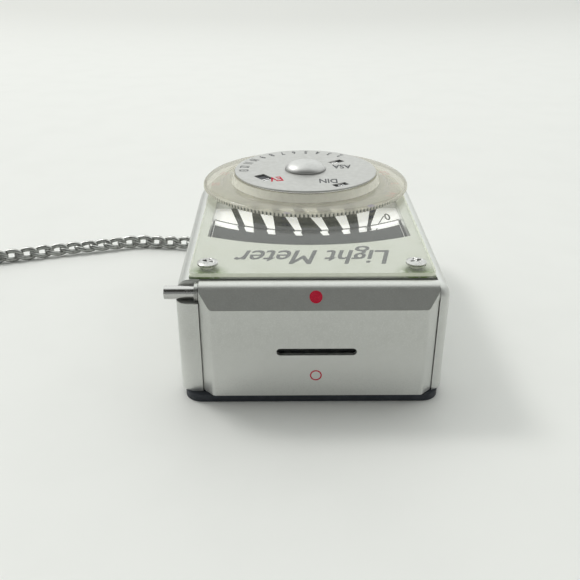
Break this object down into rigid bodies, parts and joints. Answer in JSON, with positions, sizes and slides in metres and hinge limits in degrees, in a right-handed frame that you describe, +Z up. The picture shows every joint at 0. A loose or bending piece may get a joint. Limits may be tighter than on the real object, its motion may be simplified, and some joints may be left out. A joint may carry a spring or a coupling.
{
  "type": "light meter",
  "caption": "Pocket selenium light meter: metal case with a hinged cover over its cell, a needle window, a clear calculator dial and a metal chain.",
  "frame": {"origin": "middle of the underside of the base, on the table", "axes": "+Z up from the table, +Y from the cell end to the dial end, +X across the case"},
  "size_m": [0.1331, 0.0751, 0.0276],
  "materials": {
    "satin_case": "satin silver lacquer with a fine grain",
    "black_plastic": "matte",
    "printed_plate": "brushed and printed",
    "clear_plastic": "clear, slightly yellowed",
    "cell_lens": "clear with a honeycomb of small lenses",
    "scale_print": "printed white and grey",
    "silver_disc": "fine turned",
    "chrome": "polished",
    "steel": "plain",
    "brass": "plain",
    "cell": "dark grey selenium",
    "needle": "black enamel",
    "resistor": "glazed"
  },
  "bodies": {
    "case": {"base": "black_plastic", "base_screws": "chrome", "bridge_pillars": "steel", "cell_lens": "cell_lens", "cell_retainer": "black_plastic", "chain_coil": "steel", "chain_end_ring": "steel", "chain_lug": "steel", "chain_run": "steel", "contact_springs": "brass", "core_magnet": "steel", "cover_plate": "clear_plastic", "cover_screws": "chrome", "dial_cap": "chrome", "dial_post": "steel", "friction_washer": "steel", "hairsprings": "brass", "housing": "satin_case", "jewel_bearings": "brass", "jump_ring": "steel", "leads": "brass", "lower_scale": "scale_print", "magnet_yoke": "steel", "movement_plate": "brass", "name_plate": "printed_plate", "pivot_bush": "steel", "pivot_pin": "steel", "resistor": "resistor", "scale_plate": "scale_print", "scale_well": "black_plastic", "selenium_cell": "cell", "terminal_board": "black_plastic", "top_bridge": "brass"},
    "flap": {"flap": "satin_case", "hinge_pin": "chrome"},
    "dial": {"calculator_dial": "clear_plastic", "film_speed_scale": "scale_print"},
    "speed_disc": {"speed_disc": "silver_disc"},
    "needle_movement": {"moving_coil": "brass", "needle_staff": "steel", "needle": "needle"},
    "adjuster": {"zero_adjuster": "brass"}
  },
  "joints": [
    {"name": "flap_hinge", "type": "hinge", "parent": "case", "child": "flap", "pos_m": [0, -0.03392, 0.01926], "axis": [-1, 0, 0], "range_deg": [0, 72]},
    {"name": "dial_turn", "type": "hinge", "parent": "case", "child": "dial", "pos_m": [0, 0.0141, 0.0236], "axis": [0, 0, 1], "continuous": true},
    {"name": "film_speed_turn", "type": "hinge", "parent": "dial", "child": "speed_disc", "pos_m": [0, 0.0141, 0.0254], "axis": [0, 0, 1], "range_deg": [-140, 140]},
    {"name": "needle_swing", "type": "hinge", "parent": "case", "child": "needle_movement", "pos_m": [0, 0.025, 0.0188], "axis": [0, 0, -1], "range_deg": [0, 45], "stiffness_Nm_per_rad": 0.00002},
    {"name": "zero_adjust_turn", "type": "hinge", "parent": "case", "child": "adjuster", "pos_m": [0, 0.025, 0.0012], "axis": [0, 0, 1], "range_deg": [-20, 20]}
  ]
}
